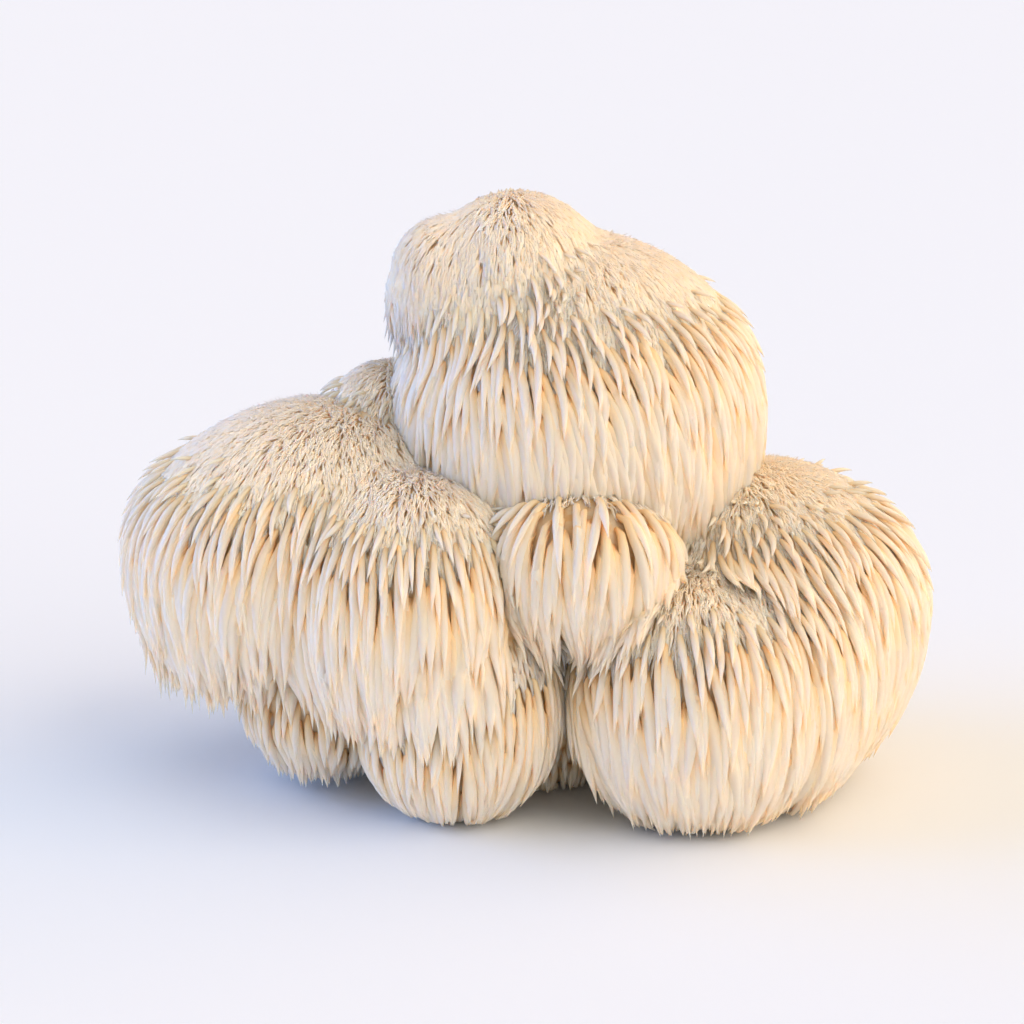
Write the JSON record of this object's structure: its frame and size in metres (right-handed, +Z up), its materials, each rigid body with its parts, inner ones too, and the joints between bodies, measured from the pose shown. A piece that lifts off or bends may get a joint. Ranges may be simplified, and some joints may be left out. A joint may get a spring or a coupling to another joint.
{
  "type": "lion's mane mushroom",
  "caption": "Lobed white mushroom covered in hanging spines, a tall crown over side lobes, cut flat underneath so that it rests upright.",
  "frame": {"origin": "middle of the flat cut under the foot, on the surface that the mushroom rests on", "axes": "+X along the mushroom's width, towards the lower right lobe; -Y out of the broad front; +Z up through the crown"},
  "size_m": [0.1627, 0.1046, 0.117],
  "materials": {
    "mushroom_flesh": "soft, waxy cream flesh with a low sheen"
  },
  "bodies": {
    "root": {"fruit_body": "mushroom_flesh"}
  },
  "joints": []
}
